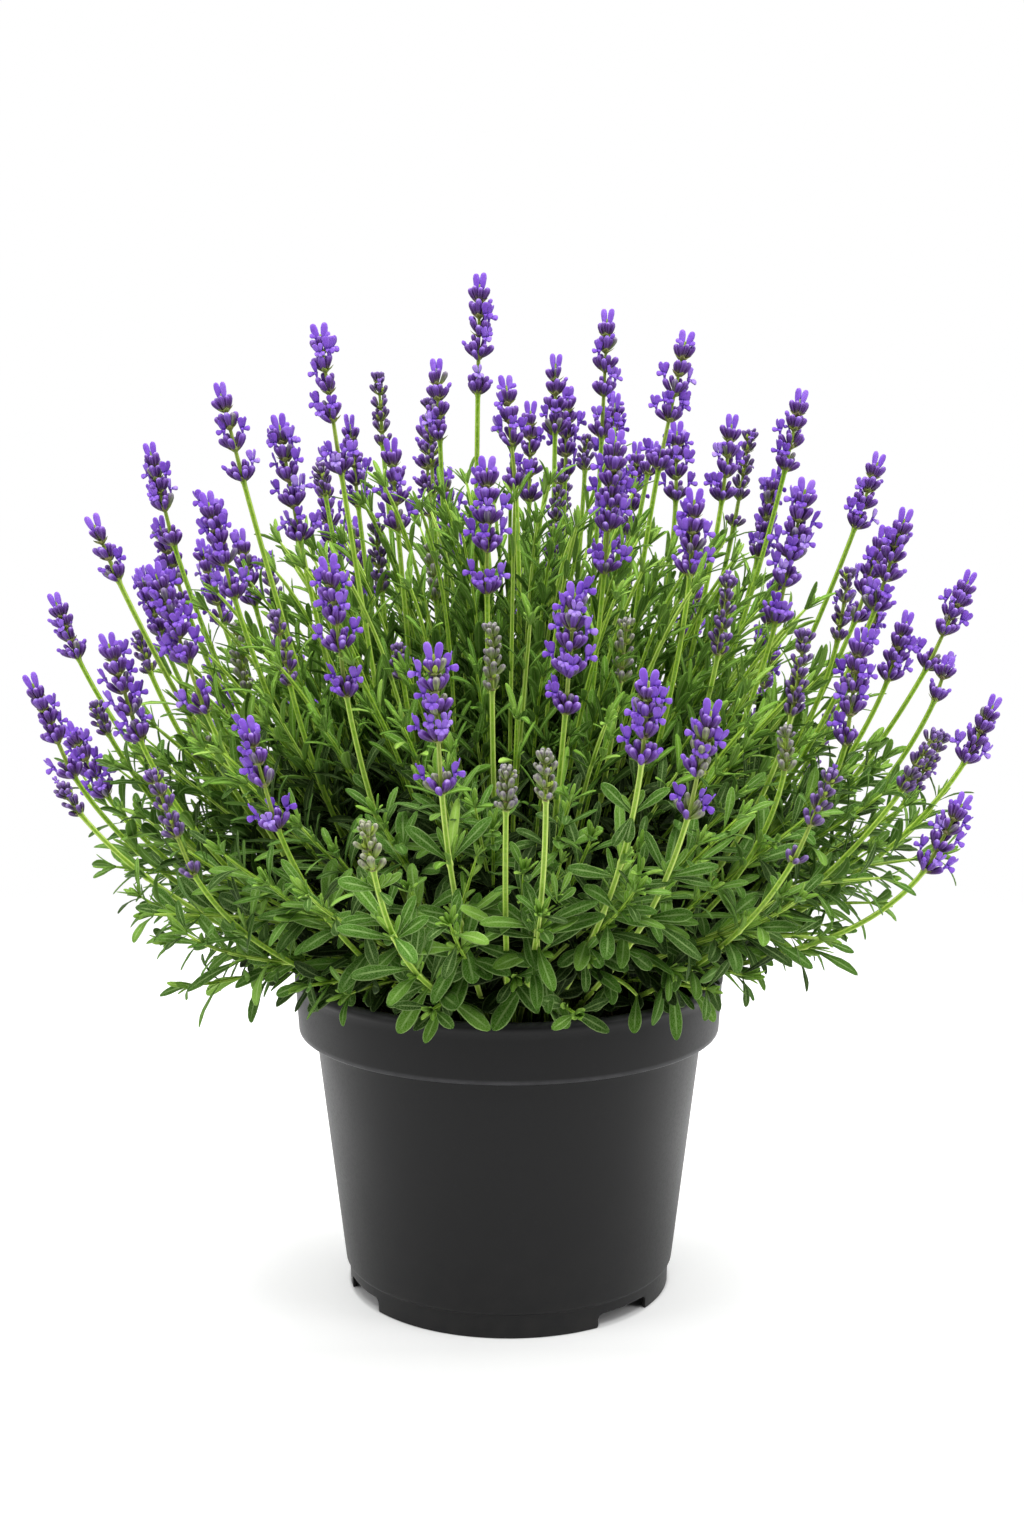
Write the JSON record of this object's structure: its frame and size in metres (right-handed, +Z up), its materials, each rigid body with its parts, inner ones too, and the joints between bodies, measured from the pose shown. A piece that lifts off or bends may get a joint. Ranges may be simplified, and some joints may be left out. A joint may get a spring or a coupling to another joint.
{
  "type": "potted lavender",
  "caption": "Bushy lavender plant with fanned violet flower spikes and narrow grey-green leaves, growing in a round tapered plastic nursery pot with a deep rim and drainage notches.",
  "frame": {"origin": "on the pot's axis, on the surface that the pot stands on", "axes": "+Z up along the pot's axis, -Y towards the viewer of the picture, +X to the viewer's right"},
  "size_m": [0.5064, 0.4449, 0.5393],
  "materials": {
    "pot_plastic": "satin moulded dark anthracite plastic, softly glossy with a fine moulded grain",
    "compost": "loose dark peat and bark compost, dull",
    "bark": "fissured grey-brown woody bark, dull",
    "flower": "finely felted violet calyces and blue-violet corollas on yellow-green ribbed stalks",
    "leaf": "grey-green leaves with a fine felt and a paler midrib"
  },
  "bodies": {
    "root": {"pot": "pot_plastic", "compost": "compost", "woody_crown": "bark", "flower_stem_01": "flower", "flower_stem_02": "flower", "flower_stem_03": "flower", "flower_stem_04": "flower", "flower_stem_05": "flower", "flower_stem_06": "flower", "flower_stem_07": "flower", "flower_stem_08": "flower", "flower_stem_09": "flower", "flower_stem_10": "flower", "flower_stem_11": "flower", "flower_stem_12": "flower", "flower_stem_13": "flower", "flower_stem_14": "flower", "flower_stem_15": "flower", "flower_stem_16": "flower", "flower_stem_17": "flower", "flower_stem_18": "flower", "flower_stem_19": "flower", "flower_stem_20": "flower", "flower_stem_21": "flower", "flower_stem_22": "flower", "flower_stem_23": "flower", "flower_stem_24": "flower", "flower_stem_25": "flower", "flower_stem_26": "flower", "flower_stem_27": "flower", "flower_stem_28": "flower", "flower_stem_29": "flower", "flower_stem_30": "flower", "flower_stem_31": "flower", "flower_stem_32": "flower", "flower_stem_33": "flower", "flower_stem_34": "flower", "flower_stem_35": "flower", "flower_stem_36": "flower", "flower_stem_37": "flower", "flower_stem_38": "flower", "flower_stem_39": "flower", "leafy_shoot_01": "leaf", "leafy_shoot_02": "leaf", "leafy_shoot_03": "leaf", "leafy_shoot_04": "leaf", "leafy_shoot_05": "leaf", "leafy_shoot_06": "leaf", "leafy_shoot_07": "leaf", "leafy_shoot_08": "leaf", "leafy_shoot_09": "leaf", "leafy_shoot_10": "leaf", "leafy_shoot_11": "leaf", "leafy_shoot_12": "leaf", "leafy_shoot_13": "leaf", "leafy_shoot_14": "leaf", "leafy_shoot_15": "leaf", "leafy_shoot_16": "leaf", "leafy_shoot_17": "leaf", "leafy_shoot_18": "leaf"}
  },
  "joints": []
}
